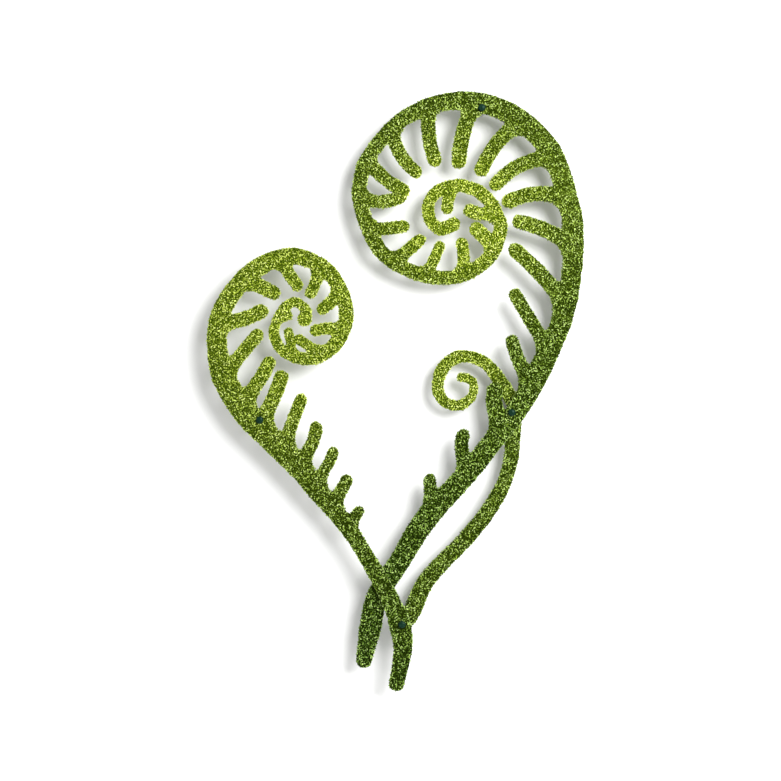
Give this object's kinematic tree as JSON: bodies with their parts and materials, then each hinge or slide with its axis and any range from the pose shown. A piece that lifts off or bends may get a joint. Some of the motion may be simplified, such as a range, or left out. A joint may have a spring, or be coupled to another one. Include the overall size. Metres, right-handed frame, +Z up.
{
  "type": "fern frond wall sculpture",
  "caption": "Layered wall sculpture of curled fern fronds in granular green glass, pinned by round-headed screws to stand-off barrels that hold it clear of the wall.",
  "frame": {"origin": "centre of the top barrel's flat back face, on the wall plane", "axes": "+Z up along the wall, +X to the right as seen from the front, +Y into the wall, so the front faces -Y"},
  "size_m": [0.2833, 0.025, 0.4503],
  "materials": {
    "tall_glass": "coarse glossy granules, mid to dark green stem, lime in the coil",
    "left_glass": "coarse glossy granules, olive green",
    "curl_glass": "coarse glossy granules, lime green",
    "screw_gloss": "smooth glossy dark green",
    "spacer_metal": "satin"
  },
  "bodies": {
    "root": {"tall_fiddlehead": "tall_glass", "left_fiddlehead": "left_glass", "small_curl": "curl_glass", "screw_top": "screw_gloss", "screw_left": "screw_gloss", "screw_middle": "screw_gloss", "screw_bottom": "screw_gloss", "spacer_top": "spacer_metal", "spacer_left": "spacer_metal", "spacer_middle": "spacer_metal", "spacer_bottom": "spacer_metal", "layer_washer": "spacer_metal"}
  },
  "joints": []
}
